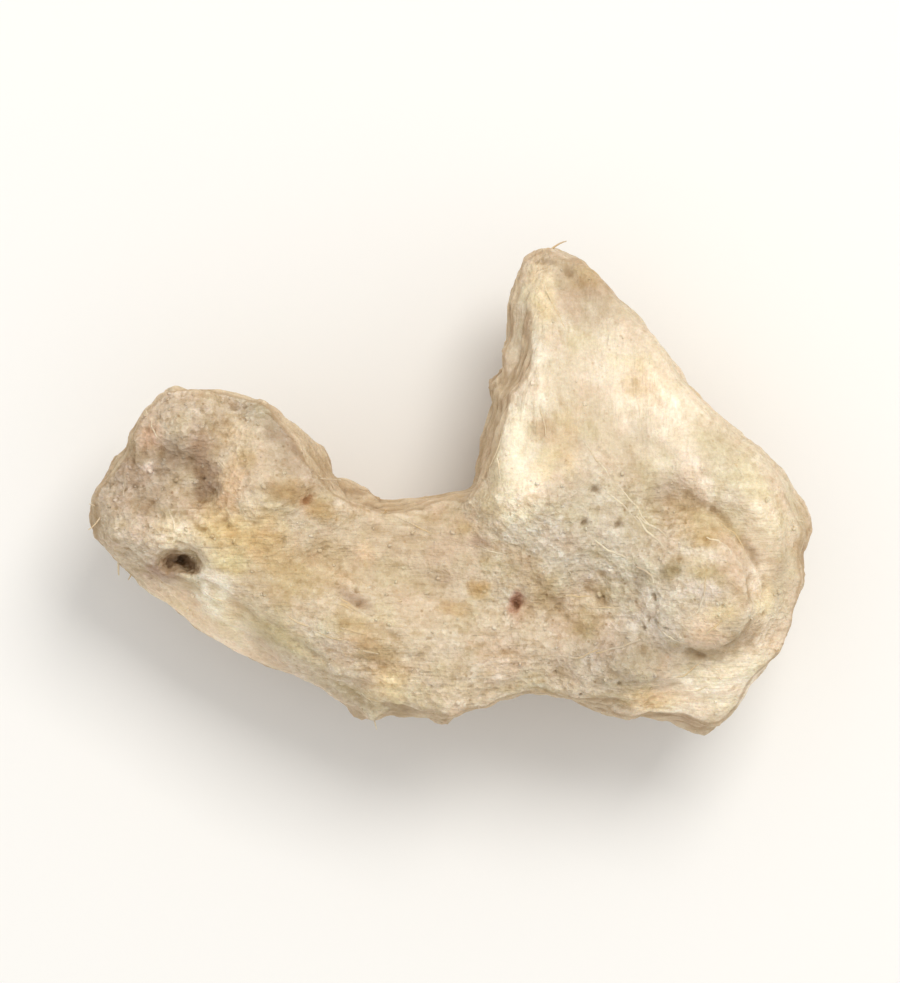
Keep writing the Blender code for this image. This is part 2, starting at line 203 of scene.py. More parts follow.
# Patches of other colours on the cut face: place in X and Y, half length, half width, turn in
# degrees, screen colour, and how much of it shows in its middle.
PATCHES = (
    (3.3, 3.6, 3.2, 1.7, 98, (214, 200, 177), 0.9),
    (2.6, 1.9, 2.6, 1.0, 84, (222, 207, 181), 0.9),
    (2.0, 1.4, 2.6, 0.55, 82, (250, 238, 212), 0.95),
    (4.3, 2.2, 2.2, 0.5, 108, (220, 203, 174), 0.6),
    (6.0, 2.5, 3.0, 1.1, 130, (250, 236, 212), 0.9),
    (5.7, 3.2, 0.7, 0.5, 120, (240, 214, 178), 0.6),
    (5.3, 1.5, 0.5, 0.4, 0, (212, 196, 170), 0.6),
    (3.9, 6.3, 1.5, 1.1, -30, (190, 170, 142), 0.95),
    (2.7, 5.7, 1.1, 0.4, 95, (238, 219, 182), 0.85),
    (3.9, 6.3, 0.4, 0.35, 30, (190, 166, 126), 0.7),
    (3.3, 1.7, 0.8, 0.4, 70, (214, 190, 154), 0.75),
    (2.65, 1.9, 0.38, 0.27, 60, (196, 170, 132), 0.75),
    (3.4, 0.9, 0.6, 0.35, 100, (214, 192, 156), 0.7),
    (7.9, 1.0, 1.3, 0.6, 135, (200, 184, 150), 0.85),
    (9.2, -0.6, 1.6, 0.7, 110, (232, 216, 186), 0.85),
    (9.5, -2.5, 1.3, 0.3, 82, (198, 181, 152), 0.8),
    (9.1, -3.1, 0.8, 0.3, 85, (228, 212, 172), 0.7),
    (8.9, -2.6, 0.5, 0.3, 80, (240, 226, 200), 0.7),
    (9.3, -4.2, 1.0, 0.6, 60, (222, 205, 176), 0.8),
    # Painted light: lighter than the tissue, to offset the shade of a flank that slopes away from the
    # lamp.
    (7.5, -5.8, 1.9, 0.8, 30, (255, 240, 212), 0.95),
    (6.0, -6.1, 0.9, 0.4, 5, (252, 222, 182), 0.9),
    (7.3, -1.0, 1.2, 0.5, -25, (200, 178, 136), 0.85),
    (7.5, -1.4, 0.6, 0.35, 0, (194, 166, 122), 0.8),
    (7.3, -1.9, 0.7, 0.25, -10, (240, 226, 202), 0.7),
    (8.0, -2.0, 0.35, 0.7, 0, (211, 188, 162), 0.8),
    (7.2, -2.85, 0.6, 0.3, 0, (228, 212, 196), 0.9),
    (6.3, -2.35, 0.4, 0.3, 10, (160, 142, 102), 0.85),
    (7.3, -2.35, 0.35, 0.2, 0, (192, 170, 124), 0.7),
    (7.9, -3.5, 0.5, 0.35, 10, (214, 192, 148), 0.8),
    (7.2, -3.9, 0.7, 0.6, 0, (232, 206, 170), 0.85),
    (8.5, -4.3, 0.8, 0.25, 25, (178, 160, 132), 0.85),
    (4.2, -1.4, 2.2, 1.6, 0, (202, 189, 166), 0.9),
    (5.5, -3.3, 1.6, 1.2, 0, (216, 204, 182), 0.85),
    (5.0, -4.8, 1.9, 0.8, 4, (180, 164, 142), 0.9),
    # Painted light: lighter than the tissue, to offset the shade of a slope that faces away from the
    # lamp.
    (5.8, -3.9, 0.9, 0.6, -30, (222, 208, 188), 0.8),
    (2.1, -4.3, 1.2, 0.7, 0, (205, 186, 160), 0.8),
    (2.75, -2.85, 1.15, 0.42, -52, (192, 168, 132), 0.85),
    (3.95, -3.45, 0.7, 0.35, -52, (204, 182, 148), 0.85),
    (4.35, -3.0, 0.5, 0.28, -50, (190, 164, 126), 0.8),
    (3.85, -4.0, 0.45, 0.32, 0, (172, 150, 108), 0.8),
    (2.2, -1.25, 0.9, 0.4, 0, (222, 210, 188), 0.8),
    (0.2, -4.6, 0.9, 0.4, -35, (210, 196, 172), 0.75),
    (0.4, -1.1, 0.4, 0.2, 0, (204, 184, 138), 0.7),
    (-2.6, -4.1, 0.9, 0.6, -50, (194, 168, 128), 0.85),
    (-1.7, -4.9, 0.9, 0.4, -40, (190, 166, 126), 0.85),
    (-1.6, -5.7, 0.7, 0.5, 0, (232, 208, 156), 0.9),
    (-6.2, -1.2, 1.3, 0.8, -20, (212, 184, 134), 0.9),
    (-5.2, -1.6, 1.1, 0.6, -50, (204, 174, 124), 0.9),
    (-6.4, -2.05, 0.7, 0.4, 0, (214, 196, 148), 0.8),
    (-6.35, 0.25, 0.4, 1.0, -20, (214, 184, 146), 0.9),
    (-5.8, 0.9, 0.3, 0.3, 0, (184, 154, 108), 0.7),
    (-4.7, 0.0, 0.8, 0.4, -10, (174, 144, 100), 0.9),
    (-3.7, -0.55, 0.5, 0.35, -20, (180, 150, 104), 0.9),
    (-4.6, 0.75, 0.8, 0.35, -25, (186, 165, 140), 0.85),
    # Painted shadow of a neighbouring piece, in a dark band along the top edge of the stub.
    (-4.9, 1.6, 0.9, 0.4, -35, (164, 146, 122), 0.85),
    (-4.0, 1.0, 0.7, 0.3, -40, (150, 120, 92), 0.85),
    (-2.3, 0.0, 1.6, 0.3, -4, (168, 142, 114), 0.85),
    (-4.0, -2.2, 1.5, 0.9, 0, (200, 176, 138), 0.8),
    (-2.4, -1.8, 0.4, 0.3, 0, (232, 196, 156), 0.8),
    (-1.2, -1.4, 1.6, 1.0, 0, (200, 178, 148), 0.85),
    (-0.8, -3.3, 1.0, 0.7, 0, (210, 190, 162), 0.7),
    (-2.8, -3.1, 0.6, 0.2, -30, (166, 144, 124), 0.7),
    (-9.3, 0.3, 1.3, 1.5, 0, (176, 156, 132), 0.9),
    # Painted shade in the furrow between the knob and the shoulder.
    (-8.1, 1.0, 0.8, 0.6, -10, (150, 128, 104), 0.9),
    (-8.75, 1.6, 0.4, 0.4, 20, (204, 168, 138), 0.8),
    # Painted shade in the furrow between the knob and the shoulder.
    (-7.15, 0.5, 0.5, 0.8, 0, (160, 134, 110), 0.9),
    (-7.3, 1.5, 0.4, 0.5, 0, (180, 156, 132), 0.85),
    (-7.6, 2.4, 1.5, 0.5, 0, (192, 172, 148), 0.8),
    (-6.3, 1.7, 0.5, 0.5, 0, (214, 192, 158), 0.8),
    (-5.6, 2.4, 0.9, 0.35, -24, (172, 156, 132), 0.85),
    (-9.2, -1.4, 0.9, 0.8, 0, (208, 190, 164), 0.85),
    (-8.0, -1.2, 0.6, 0.4, -20, (244, 226, 198), 0.9),
    # Painted shadow of the pit, falling to its lower left.
    (-8.4, -2.35, 0.5, 0.35, -10, (150, 124, 108), 0.8),
    # Painted light: these are lighter than the tissue, to offset the shade of a facet that slopes
    # away from the lamp.
    (-6.85, -3.2, 0.55, 0.95, 15, (255, 248, 226), 1.0),
    (-6.1, -3.6, 0.9, 0.4, -30, (250, 234, 204), 0.85),
    (-8.0, -3.3, 1.0, 0.5, -35, (240, 216, 182), 0.85),
    (-6.9, -4.3, 2.0, 0.6, -32, (252, 228, 196), 0.9),
    (-5.1, -4.1, 1.3, 0.35, -35, (194, 176, 136), 0.85),
    (-3.8, -4.4, 0.5, 0.5, 0, (212, 196, 170), 0.7),
    (-0.3, -5.7, 1.2, 0.6, 0, (216, 196, 166), 0.8),
)

# Small marks, in the same form, with sharper borders.
MARKS = (
    (6.35, -2.35, 0.36, 0.24, 10, (160, 142, 104), 0.75),
    (5.5, -2.4, 0.50, 0.22, 90, (168, 150, 128), 0.65),
    # Painted shade in the furrow between the knob and the shoulder.
    (-7.25, 0.60, 0.90, 0.26, 90, (150, 124, 102), 0.45),
    (2.05, -0.05, 0.85, 0.62, 85, (252, 240, 212), 0.75),
    (2.75, 0.80, 0.60, 0.36, 62, (228, 213, 172), 0.6),
    # Painted shade along the upper end of the ring groove.
    (7.35, -0.32, 0.62, 0.14, -30, (178, 156, 126), 0.75),
    (8.2, -1.12, 0.42, 0.14, -48, (190, 170, 132), 0.75),
    (8.75, -1.75, 0.42, 0.16, -58, (170, 150, 122), 0.8),
    (7.55, 0.1, 0.80, 0.17, -32, (242, 228, 204), 0.7),
    # Painted shade along the lower side of the ring groove.
    (7.45, -4.74, 0.60, 0.19, -4, (174, 150, 116), 0.7),
    (0.84, -2.84, 0.40, 0.29, 8, (188, 154, 106), 0.9),
    (0.10, -3.42, 0.48, 0.27, 10, (192, 162, 122), 0.8),
    (1.92, -3.22, 0.30, 0.22, 80, (130, 64, 46), 0.9),
    (1.98, -3.33, 0.46, 0.30, 80, (202, 166, 138), 0.5),
    (0.85, -1.5, 0.34, 0.14, -5, (182, 158, 134), 0.75),
    (-4.15, -0.29, 0.18, 0.14, 40, (180, 132, 92), 0.75),
    (4.22, 0.07, 0.14, 0.11, 0, (138, 120, 100), 0.55),
    (3.88, -0.88, 0.14, 0.11, 0, (138, 120, 98), 0.55),
    (4.88, -0.93, 0.13, 0.10, 0, (136, 120, 102), 0.55),
    (3.45, 0.90, 0.26, 0.14, 100, (208, 178, 136), 0.6),
    (3.50, 1.45, 0.24, 0.15, 70, (204, 182, 150), 0.6),
    (-8.78, 0.72, 0.14, 0.20, 0, (246, 230, 212), 0.8),
    (-6.42, -1.18, 0.24, 0.16, 0, (200, 164, 112), 0.6),
    (3.55, 6.35, 0.42, 0.11, -42, (178, 156, 128), 0.7),
    (2.8, 6.74, 0.30, 0.10, 0, (160, 138, 110), 0.7),
    (4.10, 6.38, 0.42, 0.26, -40, (188, 164, 126), 0.7),
    (6.35, 0.02, 0.50, 0.24, 15, (208, 192, 172), 0.5),
)

# How far the borders of both wander, in broad, finer and finest waves, and how sharp they are.
PATCH_WANDER = (0.3, 0.3, 0.2)
MARK_WANDER = (0.0, 0.12, 0.08)
PATCH_SHARPNESS = 3
MARK_SHARPNESS = 5

# Patterns of the finishes: how many of each there are to a millimetre.
BLOTCHES = 0.8
MOTTLE = 3.2
GRIT = 11.0
GRAINS = 7.5
PORES = 4.3
THREADS = 7.0

# The threads' turns in the stub and in the branch, in degrees, and how far they are drawn out.
STUB_TURN = 16
BRANCH_TURN = -20
THREAD_STRETCH = 9.0

# The studio, in metres: its floor, its lamp with its power in watts, how strong the light from
# all round is, how high the camera stands, and its lens in millimetres.
FLOOR_SIZE = 1.2
LAMP_SIZE = 0.12
LAMP_PLACE = (0.08, 0.13, 0.24)
LAMP_POWER = 0.42
LIGHT_AROUND = 0.78
CAMERA_HEIGHT = 0.205
LENS = 250


def ramp(value, start, end):
    """0 up to start and 1 from end on, straight between them."""
    return np.clip((value - start) / (end - start), 0, 1)


def linear(colour):
    """A screen colour of 0 to 255 as the light that it stands for."""
    return tuple(((c / 255 + 0.055) / 1.055) ** 2.4 for c in colour)


def towards(turn):
    """A step of 1 in X and Y, turned by these degrees from X."""
    return math.cos(math.radians(turn)), math.sin(math.radians(turn))


def closeness(points, x, y, reach):
    """1 at a place in X and Y, falling to about a third at that reach."""
    return np.exp(-((points[:, :2] - (x, y)) ** 2).sum(axis=1) / reach**2)


def in_ellipse(places, centre_x, centre_y, long, wide, turn):
    """0 at the middle of an ellipse and 1 on its rim."""
    across, up = towards(turn)
    dx, dy = places[:, 0] - centre_x, places[:, 1] - centre_y
    return np.hypot((dx * across + dy * up) / long, (dy * across - dx * up) / wide)


def select_only(*chosen):
    bpy.ops.object.select_all(action="DESELECT")
    for item in chosen:
        item.select_set(True)
    bpy.context.view_layer.objects.active = chosen[0]


def finish_with(piece, kind, **settings):
    """Adds a modifier and applies it."""
    select_only(piece)
    modifier = piece.modifiers.new(kind.title(), kind)
    for name, value in settings.items():
        setattr(modifier, name, value)
    bpy.ops.object.modifier_apply(modifier=modifier.name)


def coordinates(piece):
    points = np.empty(len(piece.data.vertices) * 3, np.float32)
    piece.data.vertices.foreach_get("co", points)
    return points.reshape(-1, 3).astype(float)


def normals(piece):
    directions = np.empty(len(piece.data.vertices) * 3, np.float32)
    piece.data.vertex_normals.foreach_get("vector", directions)
    return directions.reshape(-1, 3).astype(float)


def move_to(piece, points):
    piece.data.vertices.foreach_set("co", points.astype(np.float32).ravel())
    piece.data.update()


def noise_at(points, size, seed):
    """Smooth noise of about -1 to 1 whose lumps are of that size."""
    scaled = points / size + np.array((seed, 2.3 * seed, -1.7 * seed))
    return np.array([noise.noise(place) for place in scaled.tolist()])


def wander(points, size, seed):
    """Two noises side by side, to shift places in X and Y by."""
    return np.stack([noise_at(points, size, seed + shift) for shift in (0.0, 1.6)], axis=1)


def neighbours_mean(piece, values, rounds):
    """Values at the vertices, each averaged with its neighbours a number of times."""
    edges = np.empty(len(piece.data.edges) * 2, np.int32)
    piece.data.edges.foreach_get("vertices", edges)
    starts, ends = edges.reshape(-1, 2).T
    count = len(piece.data.vertices)
    degree = np.bincount(starts, minlength=count) + np.bincount(ends, minlength=count)
    for _ in range(rounds):
        summed = np.stack(
            [
                np.bincount(starts, column[ends], count) + np.bincount(ends, column[starts], count)
                for column in values.T
            ],
            axis=1,
        )
        values = 0.5 * values + 0.5 * summed / degree[:, None]
    return values


def keep_attribute(piece, name, values):
    attribute = piece.data.attributes.new(name, "FLOAT", "POINT")
    attribute.data.foreach_set("value", values.astype(np.float32))


def read_attribute(piece, name):
    values = np.empty(len(piece.data.vertices), np.float32)
    piece.data.attributes[name].data.foreach_get("value", values)
    return values.astype(float)


def read_colour(piece, name):
    values = np.empty(len(piece.data.vertices) * 4, np.float32)
    piece.data.attributes[name].data.foreach_get("color", values)
    return values.reshape(-1, 4)[:, :3].astype(float)


def keep_colour(piece, name, colours):
    attribute = piece.data.attributes.new(name, "FLOAT_COLOR", "POINT")
    with_alpha = np.concatenate([colours, np.ones((len(colours), 1))], axis=1)
    attribute.data.foreach_set("color", with_alpha.astype(np.float32).ravel())


def to_metres(piece):
    select_only(piece)
    piece.scale = (MM, MM, MM)
    bpy.ops.object.transform_apply(location=True, rotation=True, scale=True)


class Value:
    """One output of a material's nodes, so that shader maths reads as plain sums."""

    def __init__(self, finish, output):
        self.finish, self.output = finish, output

    def maths(self, operation, *values):
        return self.finish.node("ShaderNodeMath", {"operation": operation}, dict(enumerate(values)))

    def __add__(self, other):
        return self.maths("ADD", self, other)

    def __radd__(self, other):
        return self.maths("ADD", other, self)

    def __sub__(self, other):
        return self.maths("SUBTRACT", self, other)

    def __rsub__(self, other):
        return self.maths("SUBTRACT", other, self)

    def __mul__(self, other):
        return self.maths("MULTIPLY", self, other)

    def __rmul__(self, other):
        return self.maths("MULTIPLY", other, self)

    def between(self, start, end):
        """0 at start and 1 at end, with a smooth rise between them."""
        return self.finish.node(
            "ShaderNodeMapRange",
            {"interpolation_type": "SMOOTHSTEP"},
            {"Value": self, "From Min": start, "From Max": end},
        )


class Finish:
    """A material, and the one method that adds a node of any type to it."""

    # Where the Mix node has its factor, its two colours and the mixed colour.
    MIX_FACTOR, MIX_FIRST, MIX_SECOND, MIXED = 0, 6, 7, 2

    def __init__(self, name):
        self.material = bpy.data.materials.new(name)
        self.material.use_nodes = True
        self.tree = self.material.node_tree
        self.shader = self.tree.nodes["Principled BSDF"]

    def node(self, kind, settings, inputs, output=0):
        made = self.tree.nodes.new(kind)
        for name, value in settings.items():
            setattr(made, name, value)
        for key, value in inputs.items():
            self.give(made.inputs[key], value)
        return Value(self, made.outputs[output])

    def give(self, socket, value):
        if isinstance(value, Value):
            self.tree.links.new(value.output, socket)
        else:
            socket.default_value = value

    def surface(self, inputs):
        """Sets sockets of the shader itself."""
        for name, value in inputs.items():
            self.give(self.shader.inputs[name], value)

    def attribute(self, name, output="Fac"):
        return self.node("ShaderNodeAttribute", {"attribute_name": name}, {}, output)

    def placed(self, turn=0.0, stretch=(1.0, 1.0, 1.0)):
        """The place on the piece in millimetres, turned in plan and then drawn out."""
        place = self.node("ShaderNodeTexCoord", {}, {}, "Object")
        turned = {"Vector": place, "Rotation": (0.0, 0.0, math.radians(turn))}
        turned["Scale"] = tuple(1 / (MM * along) for along in stretch)
        return self.node("ShaderNodeMapping", {"vector_type": "POINT"}, turned)

    def noise(self, vector, scale, detail, roughness):
        inputs = {"Vector": vector, "Scale": scale, "Detail": detail, "Roughness": roughness}
        return self.node("ShaderNodeTexNoise", {}, inputs)

    def cells(self, vector, scale, output="Distance"):
        inputs = {"Vector": vector, "Scale": scale}
        return self.node("ShaderNodeTexVoronoi", {"feature": "F1"}, inputs, output)

    def channel(self, colour, index):
        """The red, green or blue of a colour: 0, 1 or 2."""
        return self.node("ShaderNodeSeparateColor", {}, {0: colour}, index)

    def blend(self, factor, first, second, kind="MIX"):
        """Two colours mixed: all of the second where the factor is 1, or the two multiplied."""
        inputs = {self.MIX_FACTOR: factor}
        for index, colour in ((self.MIX_FIRST, first), (self.MIX_SECOND, second)):
            inputs[index] = (*colour, 1.0) if isinstance(colour, tuple) else colour
        settings = {"data_type": "RGBA", "blend_type": kind}
        return self.node("ShaderNodeMix", settings, inputs, self.MIXED)

    def layers(self, colour, steps):
        """A colour with screen colours laid over it in turn, each as far as its factor says."""
        for factor, screen_colour in steps:
            colour = self.blend(factor, colour, linear(screen_colour))
        return colour

    def tones(self, colour, steps):
        """A colour whose light is scaled in turn, by these three where a step's factor is 1."""
        for factor, light in steps:
            colour = self.blend(factor, colour, light, "MULTIPLY")
        return colour

    def bump(self, height, distance, strength):
        inputs = {"Height": height, "Distance": distance, "Strength": strength}
        return self.node("ShaderNodeBump", {}, inputs)


def remesh(chunk, rounds):
    """Lays an even mesh of fine faces over the chunk, and smooths it."""
    finish_with(chunk, "REMESH", mode="VOXEL", voxel_size=MESH_STEP)
    finish_with(chunk, "SMOOTH", factor=0.5, iterations=rounds)


def chunk_from_solid():
    """A fine mesh of the solid's own form, in millimetres, with its facets smoothed away."""
    chunk = bpy.data.objects.new("ginger_chunk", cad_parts["ginger_root"].data.copy())
    bpy.context.scene.collection.objects.link(chunk)
    chunk.data.transform(Matrix.Scale(1 / MM, 4))
    select_only(chunk)
    bpy.ops.object.mode_set(mode="EDIT")
    bpy.ops.mesh.select_all(action="SELECT")
    bpy.ops.mesh.remove_doubles(threshold=0.001)
    bpy.ops.object.mode_set(mode="OBJECT")
    remesh(chunk, FACET_SMOOTHING)
    return chunk


def shape_edge_and_holes(chunk):
    """Draws the edge out where it stands further out than the solid's, and cuts the deep holes."""
    points = coordinates(chunk)
    for x, y, reach, far, turn in EDGE_PUSHES:
        points[:, :2] += far * closeness(points, x, y, reach)[:, None] * towards(turn)
    broad, fine = HOLE_STRAY
    places = points[:, :2] + broad * wander(points, 0.5, 21.3) + fine * wander(points, 0.2, 23.3)
    upper = points[:, 2] > TOP_HEIGHT
    for *ellipse, depth in HOLES:
        points[:, 2] -= depth * upper * np.exp(-(in_ellipse(places, *ellipse) ** 4))
    move_to(chunk, points)
    remesh(chunk, HOLE_SMOOTHING)


def cut_share(chunk, points, directions):
    """1 on the cut faces and 0 on the skin, with a ragged border."""
    ragged = 0.10 * noise_at(points, 0.9, 3.1) + 0.08 * noise_at(points, 0.35, 3.7)
    upward = ramp(directions[:, 2], 0.42, 0.56) * ramp(points[:, 2], 1.8, 2.6)
    share = neighbours_mean(chunk, upward[:, None], CUT_SMOOTHING)[:, 0]
    share = ramp(share + ragged, 0.42, 0.58)
    for place, normal in SIDE_CUTS:
        outward = np.array(Vector(normal).normalized())
        near_cut = ramp(np.abs((points - np.array(place)) @ outward), 1.0, 0.6)
        share = np.maximum(share, ramp(directions @ outward + ragged, 0.72, 0.86) * near_cut)
    under = ramp(points[:, 2] + ragged, 0.16, 0.06)
    return np.maximum(share, under)


def grain_at(points, directions):
    """The way the grain runs at each point, along the surface. On steep sides it runs round the
    chunk."""
    doubled = np.zeros((len(points), 2))
    for x, y, degrees in GRAIN:
        doubled += closeness(points, x, y, GRAIN_REACH)[:, None] * towards(2 * degrees)
    angle = np.arctan2(doubled[:, 1], doubled[:, 0]) / 2
    grain = np.stack([np.cos(angle), np.sin(angle), np.zeros(len(points))], axis=1)
    around = np.stack([-directions[:, 1], directions[:, 0], np.zeros(len(points))], axis=1)
    steep = ramp(np.hypot(around[:, 0], around[:, 1]), 0.55, 0.85)[:, None]
    same_way = np.where((around * grain).sum(axis=1) < 0, -1, 1)[:, None]
    grain = (1 - steep) * grain + steep * same_way * around
    grain -= directions * (grain * directions).sum(axis=1)[:, None]
    return grain / np.maximum(np.linalg.norm(grain, axis=1), 0.35)[:, None]


def drawn_out(points, grain, size, reach, seed):
    """Noise in streaks along the grain, of that width, each about as long as twice the reach."""
    steps = 2 * math.ceil(reach / (0.7 * size)) + 1
    total = np.zeros(len(points))
    for share in np.linspace(-1, 1, steps):
        total += (1 - 0.8 * abs(share)) * noise_at(points + grain * (share * reach), size, seed)
    return total / (2.2 * total.std())


def roughness_at(points):
    """How rough the cut face is at each point."""
    total, weight = np.ones(len(points)), np.ones(len(points))
    for x, y, radius, rough in ROUGH_PLACES:
        share = 4 * closeness(points, x, y, radius)
        total += rough * share
        weight += share
    return total / weight


def off_line(points, line):
    """How far each point lies from a line through places in X and Y, and how far along it."""
    best = np.full(len(points), np.inf)
    along = np.zeros(len(points))
    places = np.array(line, float)
    lengths = np.linalg.norm(np.diff(places, axis=0), axis=1)
    done = 0.0
    for start, end, length in zip(places[:-1], places[1:], lengths):
        share = np.clip((points[:, :2] - start) @ (end - start) / length**2, 0, 1)
        away = np.linalg.norm(points[:, :2] - start - share[:, None] * (end - start), axis=1)
        nearer = away < best
        best[nearer] = away[nearer]
        along[nearer] = (done + share * length)[nearer]
        done += length
    return best, along / done


def surface_patterns(chunk, points, directions):
    """The patterns on the chunk, which its relief and its materials follow."""
    grain = grain_at(points, directions)
    rough = roughness_at(points)
    waves = np.stack([noise_at(points, size=1.9, seed=seed) for seed in (1.9, 2.9, 4.9)], axis=1)
    waved = points + FOLD_WAVE * waves
    speckles = noise_at(points, size=1.1, seed=8.8) + 0.3 * noise_at(points, size=0.3, seed=8.1)
    loose = ramp(noise_at(points, size=1.7, seed=6.1), -0.45, 0.45)
    return SimpleNamespace(
        waved=waved,
        cut=cut_share(chunk, points, directions),
        roughness=rough,
        stringy=(0.35 + 0.65 * np.minimum(rough, 1)) * loose,
        lumps=noise_at(points, size=0.95, seed=1.3),
        meal=noise_at(points, size=0.34, seed=5.2),
        grains=noise_at(points, size=0.17, seed=8.4),
        streaks=drawn_out(points, grain, size=0.32, reach=1.8, seed=2.6),
        hairs=drawn_out(points, grain, size=0.16, reach=1.1, seed=7.1),
        folds=drawn_out(waved, grain, size=0.70, reach=2.6, seed=4.4),
        wrinkles=drawn_out(waved, grain, size=0.30, reach=1.6, seed=3.6),
        scabs=ramp(speckles, 0.30, 0.38),
    )


def face_relief(points, seen):
    """Meal and threads that stand up on the cut face, with torn threads and pinholes sunk in it."""
    rough = seen.roughness
    relief = LUMP_HEIGHT * (0.5 + 0.5 * rough) * seen.lumps
    relief += MEAL_HEIGHT * (0.2 + 0.8 * rough) * seen.meal + GRAIN_HEIGHT * rough * seen.grains
    relief += seen.stringy * (STREAK_HEIGHT * seen.streaks + HAIR_HEIGHT * seen.hairs)
    torn = 0.7 * seen.streaks + 0.5 * seen.hairs + 0.35 * noise_at(points, size=1.4, seed=6.6)
    relief -= TEAR_DEPTH * seen.stringy * ramp(torn, 0.62, 1.1)
    pinholes = noise_at(points, size=0.20, seed=9.5) + 0.35 * noise_at(points, size=1.3, seed=9.9)
    return relief - PINHOLE_DEPTH * np.minimum(rough, 1.2) * ramp(pinholes, 0.62, 0.80)


def skin_relief(seen):
    """Folds, wrinkles, a net of shrivels, fine hairs and scabs of the skin."""
    net = np.hypot(noise_at(seen.waved + 0.12 * seen.lumps[:, None], size=0.62, seed=5.6), 0.05)
    relief = FOLD_HEIGHT * (np.hypot(seen.folds, 0.14) - 0.4)
    relief += WRINKLE_HEIGHT * (np.hypot(seen.wrinkles, 0.10) - 0.35)
    relief += NET_HEIGHT * (net - 0.25)
    relief += SKIN_HAIR_HEIGHT * seen.hairs + SKIN_GRAIN_HEIGHT * seen.grains
    return relief + SCAB_HEIGHT * seen.scabs


def carved_depth(points, seen):
    """How deep the creases and small pits of the cut face are."""
    depths = np.zeros(len(points))
    stray = CREASE_STRAY * noise_at(points, size=0.4, seed=7.7)
    patchy = 0.65 + 0.5 * noise_at(points, size=0.7, seed=3.9)
    for line, half_width, depth in CREASES:
        away, along = off_line(points, line)
        ends = ramp(along, 0.0, 0.15) * ramp(along, 1.0, 0.85)
        depths += depth * ends * patchy * np.exp(-(((away + stray) / half_width) ** 2))
    places = points[:, :2] + PIT_STRAY * np.stack([seen.meal, seen.grains], axis=1)
    for *ellipse, depth in PITS:
        depths += depth * np.exp(-(in_ellipse(places, *ellipse) ** 3))
    return depths


def carve_chunk(chunk):
    """Gives the chunk its relief, and keeps the looks that the materials read."""
    points, directions = coordinates(chunk), normals(chunk)
    seen = surface_patterns(chunk, points, directions)
    smooth_corner = ramp(np.hypot(*(points[:, :2] - CORNER).T), 0.1, 0.9)
    relief = seen.cut * face_relief(points, seen) + (1 - seen.cut) * smooth_corner * skin_relief(seen)
    relief -= seen.cut * (points[:, 2] > FACE_HEIGHT) * carved_depth(points, seen)
    relief *= 1 - ramp(points[:, 2], FLAT_SPOT_EDGE, 0.02)
    points += directions * relief[:, None]
    points[:, 2] = np.maximum(points[:, 2], 0)
    move_to(chunk, points)

    near = neighbours_mean(chunk, points, NEAR_ROUNDS)
    far = neighbours_mean(chunk, near, FAR_ROUNDS)
    softened = neighbours_mean(chunk, points, SOFT_ROUNDS)
    fine = ((0.5 * near + 0.5 * points - softened) * directions).sum(axis=1)
    seen.broad_relief = ((near - far) * directions).sum(axis=1)
    seen.in_branch = ramp(points[:, 1], -0.4, 2.4) * (points[:, 0] > 0)
    for name in KEPT_LOOKS:
        keep_attribute(chunk, name, getattr(seen, name))
    keep_attribute(chunk, "fine_relief", fine)


def lay_spot(face, places, spot, sharpness):
    """Lays one spot of another colour over the face's colours."""
    *ellipse, colour, amount = spot
    share = amount * np.exp(-(in_ellipse(places, *ellipse) ** sharpness))
    face += share[:, None] * (np.array(linear(colour)) - face)


def tint_chunk(chunk):
    """Lays the patches and marks of colour over the cut face."""
    points = coordinates(chunk)
    waves = [wander(points, size, seed) for size, seed in ((1.1, 11.3), (0.4, 13.3), (0.16, 17.3))]
    patch_shift = sum(share * wave for share, wave in zip(PATCH_WANDER, waves))
    mark_shift = sum(share * wave for share, wave in zip(MARK_WANDER, waves))
    face = np.tile(np.array(linear(BODY)), (len(points), 1))
    for patch in PATCHES:
        half_width = patch[3]
        lay_spot(face, points[:, :2] + min(1.0, half_width) * patch_shift, patch, PATCH_SHARPNESS)
    for mark in MARKS:
        lay_spot(face, points[:, :2] + mark_shift, mark, MARK_SHARPNESS)
    top = ramp(points[:, 2], TOP_HEIGHT, 4.5)[:, None]
    plain = np.array(linear(PLAIN_CUT))
    keep_colour(chunk, "tint", plain + top * (face - plain))


def creep(surface, start, heading, lifts, dice):
    """Places along a fibre that follows the grain over the surface, at these heights above it."""
    place, path = Vector(start), []
    for lift in lifts:
        found, away = surface.find_nearest(place)[:2]
        path.append(found + away * lift)
        grain = Vector(grain_at(np.array([found]), np.array([away]))[0])
        if grain.dot(heading) < 0:
            grain.negate()
        stray = Vector([dice.gauss(0, 0.22) for _ in range(3)])
        heading = (heading + 0.6 * grain + stray).normalized()
        heading = (heading - away * heading.dot(away)).normalized()
        place = found + heading * FIBRE_STEP
    return path


def spring(start, heading, steps, dice):
    """Places along a fibre that stands free of the surface, with a slow bend of its own."""
    place, path = Vector(start), []
    bend = Vector([dice.gauss(0, 0.12) for _ in range(3)])
    for _ in range(steps):
        path.append(place.copy())
        bend += Vector([dice.gauss(0, 0.05) for _ in range(3)])
        heading = (heading + bend).normalized()
        place = place + heading * FIBRE_STEP
    return path


def inside_box(path):
    """Whether a path stays off the floor and no further than its margin past the solid's box."""
    low, high = (np.array(corner) / MM for corner in cad_box)
    margin = BOX_MARGIN * (high - low)
    places = np.array(path)
    in_reach = (places > low - margin) & (places < high + margin)
    return in_reach.all() and places[:, 2].min() > FLOOR_GAP


def taper(step, steps):
    """1 in the middle of a fibre, thinning towards its ends."""
    share = (step + 0.5) / steps
    return 0.25 + 0.75 * math.sin(math.pi * share) ** 0.6


